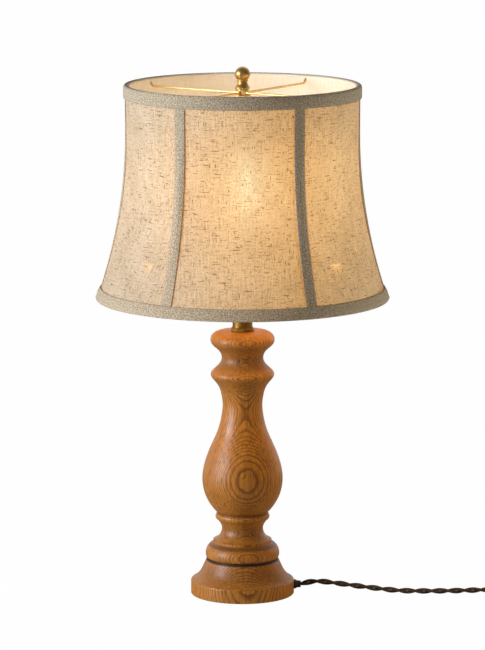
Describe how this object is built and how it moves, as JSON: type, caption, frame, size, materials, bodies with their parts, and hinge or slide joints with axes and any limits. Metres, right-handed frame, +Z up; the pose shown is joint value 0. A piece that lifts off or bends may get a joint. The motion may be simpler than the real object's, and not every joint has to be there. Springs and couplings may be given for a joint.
{
  "type": "candlestick lamp",
  "caption": "Table lamp with a turned wooden candlestick column on a round base, a brass neck, a harp and a linen bell shade with taped seams and a ball finial.",
  "frame": {"origin": "under the middle of the round base, on the surface it stands on", "axes": "+Z up along the turned column; the front of the lamp with its knob faces -Y; the cord leaves towards +X"},
  "size_m": [0.6046, 0.3352, 0.6095],
  "materials": {
    "felt": "pressed felt",
    "oak": "semi-gloss lacquer",
    "antique_brass": "aged, satin",
    "harp_brass": "plated wire, satin",
    "spider_brass": "plated rod, satin",
    "steel": "zinc plated",
    "contact_brass": "bare stamped",
    "insulation": "pressed paper",
    "black_plastic": "moulded",
    "brown_plastic": "moulded",
    "bulb_glass": "clear",
    "bulb_metal": "stamped",
    "bulb_core": "clear",
    "filament": "phosphor coated",
    "linen": "natural linen, plain weave",
    "lining": "smooth lining cloth",
    "shade_wire": "white painted wire",
    "taupe_tape": "bias tape, twill weave",
    "cord_cloth": "braided cover"
  },
  "bodies": {
    "lamp": {"felt_pad": "felt", "base_plinth": "oak", "turned_column": "oak", "lamp_pipe": "steel", "pipe_washer": "steel", "pipe_nut": "steel", "cord_bushing": "brown_plastic", "neck_flange": "antique_brass", "brass_neck": "antique_brass", "harp_saddle": "antique_brass", "socket_cap": "antique_brass", "cap_set_screw": "steel", "socket_shell": "antique_brass", "insulating_sleeve": "insulation", "switch_block": "black_plastic", "terminal_screws": "contact_brass", "screw_shell": "contact_brass", "centre_contact": "contact_brass", "inner_cord": "cord_cloth", "lead_wires": "cord_cloth", "cord_lead": "cord_cloth", "cord_coil": "cord_cloth", "cord_tail": "cord_cloth", "cord_tie": "brown_plastic", "plug_body": "brown_plastic", "plug_blades": "contact_brass"},
    "switch": {"switch_shaft": "steel", "switch_knob": "black_plastic"},
    "bulb": {"bulb_glass": "bulb_glass", "bulb_cap": "bulb_metal", "bulb_insulator": "black_plastic", "bulb_contact": "bulb_metal", "bulb_stem": "bulb_core", "bulb_filaments": "filament"},
    "harp": {"harp": "harp_brass"},
    "ferrule_left": {"harp_ferrule_left": "harp_brass"},
    "ferrule_right": {"harp_ferrule_right": "harp_brass"},
    "shade": {"harp_stud": "harp_brass", "shade_panel_1": "linen", "shade_panel_2": "linen", "shade_panel_3": "linen", "shade_panel_4": "linen", "shade_panel_5": "linen", "shade_panel_6": "linen", "shade_lining": "lining", "shade_top_ring": "shade_wire", "shade_bottom_ring": "shade_wire", "shade_ribs": "shade_wire", "spider_hub": "antique_brass", "spider_arm_1": "spider_brass", "spider_arm_2": "spider_brass", "spider_arm_3": "spider_brass", "spider_arm_4": "spider_brass", "top_tape": "taupe_tape", "bottom_tape": "taupe_tape", "rib_tapes": "taupe_tape"},
    "finial": {"finial": "antique_brass"}
  },
  "joints": [
    {"name": "switch_turn", "type": "hinge", "parent": "lamp", "child": "switch", "pos_m": [0, 0, 0.3926], "axis": [0, -1, 0], "continuous": true},
    {"name": "bulb_unscrew", "type": "hinge", "parent": "lamp", "child": "bulb", "pos_m": [0, 0, 0.404], "axis": [0, 0, 1], "continuous": true},
    {"name": "harp_lift", "type": "slide", "parent": "lamp", "child": "harp", "axis": [0, 0, 1], "range_m": [0, 0.014]},
    {"name": "left_ferrule_lift", "type": "slide", "parent": "harp", "child": "ferrule_left", "axis": [0, 0, 1], "range_m": [0, 0.012]},
    {"name": "right_ferrule_lift", "type": "slide", "parent": "harp", "child": "ferrule_right", "axis": [0, 0, 1], "range_m": [0, 0.012]},
    {"name": "shade_swivel", "type": "hinge", "parent": "harp", "child": "shade", "pos_m": [0, 0, 0.576], "axis": [0, 0, 1], "continuous": true},
    {"name": "finial_unscrew", "type": "hinge", "parent": "shade", "child": "finial", "pos_m": [0, 0, 0.5834], "axis": [0, 0, 1], "continuous": true}
  ]
}
